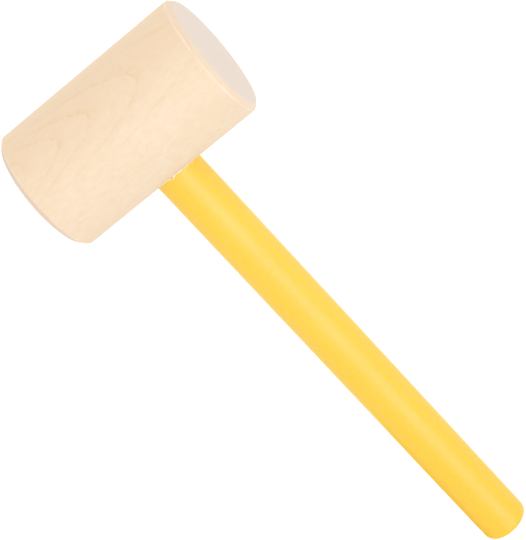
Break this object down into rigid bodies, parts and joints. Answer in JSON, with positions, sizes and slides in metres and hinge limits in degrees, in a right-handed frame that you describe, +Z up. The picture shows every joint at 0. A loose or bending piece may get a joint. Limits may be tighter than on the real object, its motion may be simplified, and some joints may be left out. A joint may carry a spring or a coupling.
{
  "type": "wooden mallet",
  "caption": "Carpenter's mallet with a cylindrical pale wood head, chamfered striking faces and a straight round handle in a yellow coat.",
  "frame": {"origin": "middle of the footprint, on the surface that the mallet lies on", "axes": "+Z up from that surface, +X from the head towards the handle's butt, +Y along the head's axis towards the striking face that the handle is set slightly nearer to"},
  "size_m": [0.3262, 0.1062, 0.065],
  "materials": {
    "head_wood": "bare, fine sanded",
    "handle_wood": "bare, turned",
    "yellow_coat": "satin, fine orange peel",
    "wedge_wood": "bare, split",
    "dried_glue": "dried wood glue"
  },
  "bodies": {
    "root": {"head": "head_wood", "handle_core": "handle_wood", "handle_coat": "yellow_coat", "fox_wedge": "wedge_wood", "glue_line": "dried_glue"}
  },
  "joints": []
}
